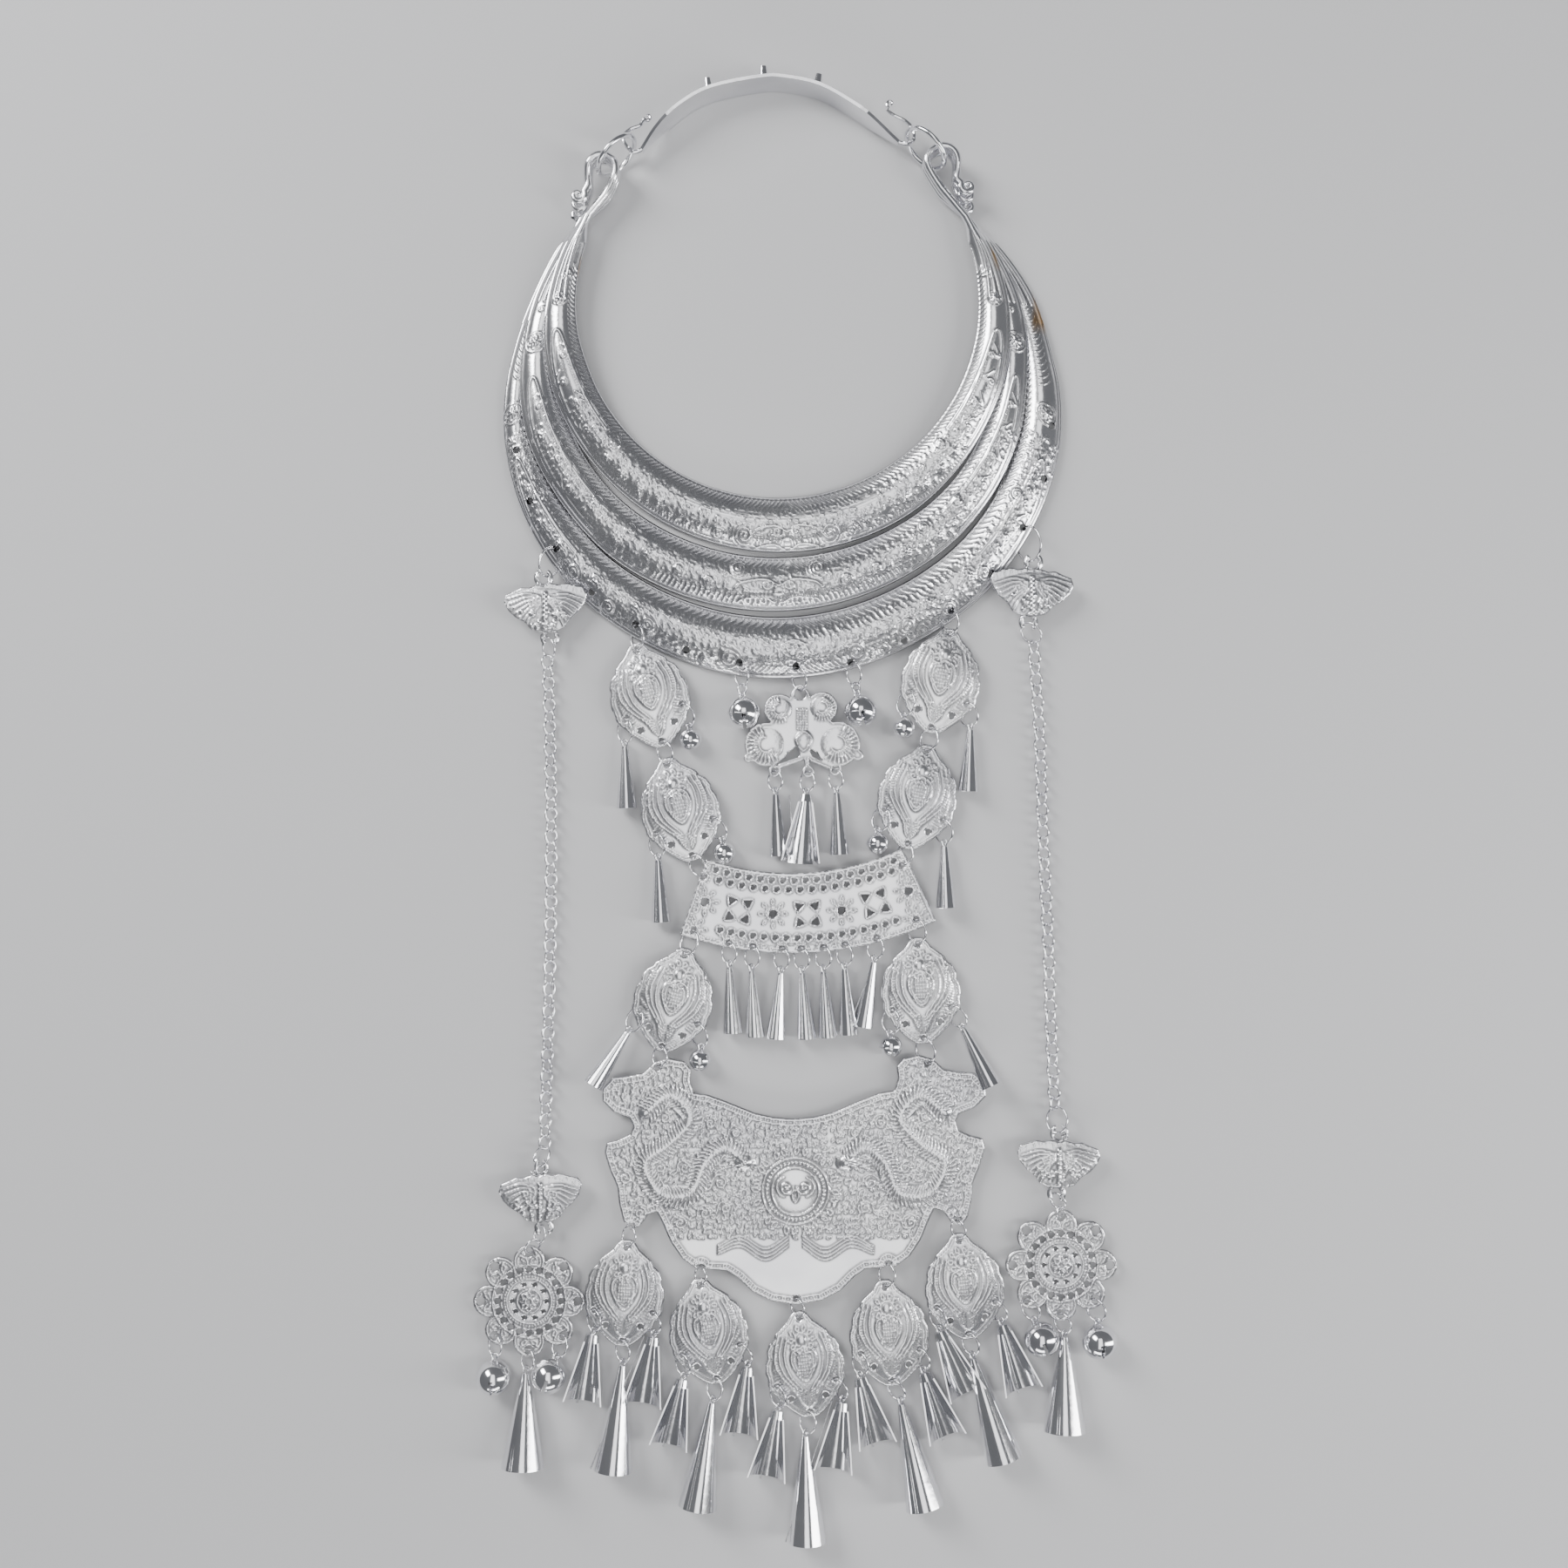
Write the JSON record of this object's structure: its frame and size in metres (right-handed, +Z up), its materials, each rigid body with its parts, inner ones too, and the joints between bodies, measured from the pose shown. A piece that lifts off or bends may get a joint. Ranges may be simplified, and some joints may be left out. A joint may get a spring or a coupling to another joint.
{
  "type": "silver torque necklace",
  "caption": "Three-tier embossed crescent neck torque with a back bar and a long front hanging of relief plates, chains, flower pendant, rosettes, cones and round bells.",
  "frame": {"origin": "middle of the neck opening, on the surface the necklace lies on", "axes": "+X to the right of the picture, +Y from the hanging plates towards the back bar, +Z up out of the surface"},
  "size_m": [0.257, 0.5862, 0.0212],
  "materials": {
    "silver": "bright polished silver plate with embossed relief and warm tints here and there"
  },
  "bodies": {
    "root": {"crescent_inner": "silver", "crescent_middle": "silver", "crescent_outer": "silver", "back_bar": "silver", "clasp_ring_left": "silver", "clasp_ring_right": "silver", "butterfly_left_top": "silver", "butterfly_right_top": "silver", "butterfly_left_low": "silver", "butterfly_right_low": "silver", "chain_left": "silver", "chain_right": "silver", "flower": "silver", "lattice_band": "silver", "big_plate": "silver", "rosette_left": "silver", "rosette_right": "silver", "torque_bell_left": "silver", "torque_bell_right": "silver", "band_cones": "silver", "flower_drops": "silver", "rosette_drops_left": "silver", "rosette_drops_right": "silver", "rings_torque": "silver", "rings_between_plates": "silver", "rings_upper_drops": "silver", "rings_low_drops": "silver", "rings_band": "silver", "rings_flower": "silver", "rings_rosettes": "silver", "rings_chains": "silver", "leaf_left_1": "silver", "leaf_left_2": "silver", "leaf_left_3": "silver", "leaf_right_1": "silver", "leaf_right_2": "silver", "leaf_right_3": "silver", "leaf_low_1": "silver", "leaf_low_2": "silver", "leaf_low_3": "silver", "leaf_low_4": "silver", "leaf_low_5": "silver", "cone_left_1": "silver", "bell_left_1": "silver", "cone_left_2": "silver", "bell_left_2": "silver", "cone_left_3": "silver", "bell_left_3": "silver", "cone_right_1": "silver", "bell_right_1": "silver", "cone_right_2": "silver", "bell_right_2": "silver", "cone_right_3": "silver", "bell_right_3": "silver", "drops_low_1": "silver", "drops_low_2": "silver", "drops_low_3": "silver", "drops_low_4": "silver", "drops_low_5": "silver"}
  },
  "joints": []
}
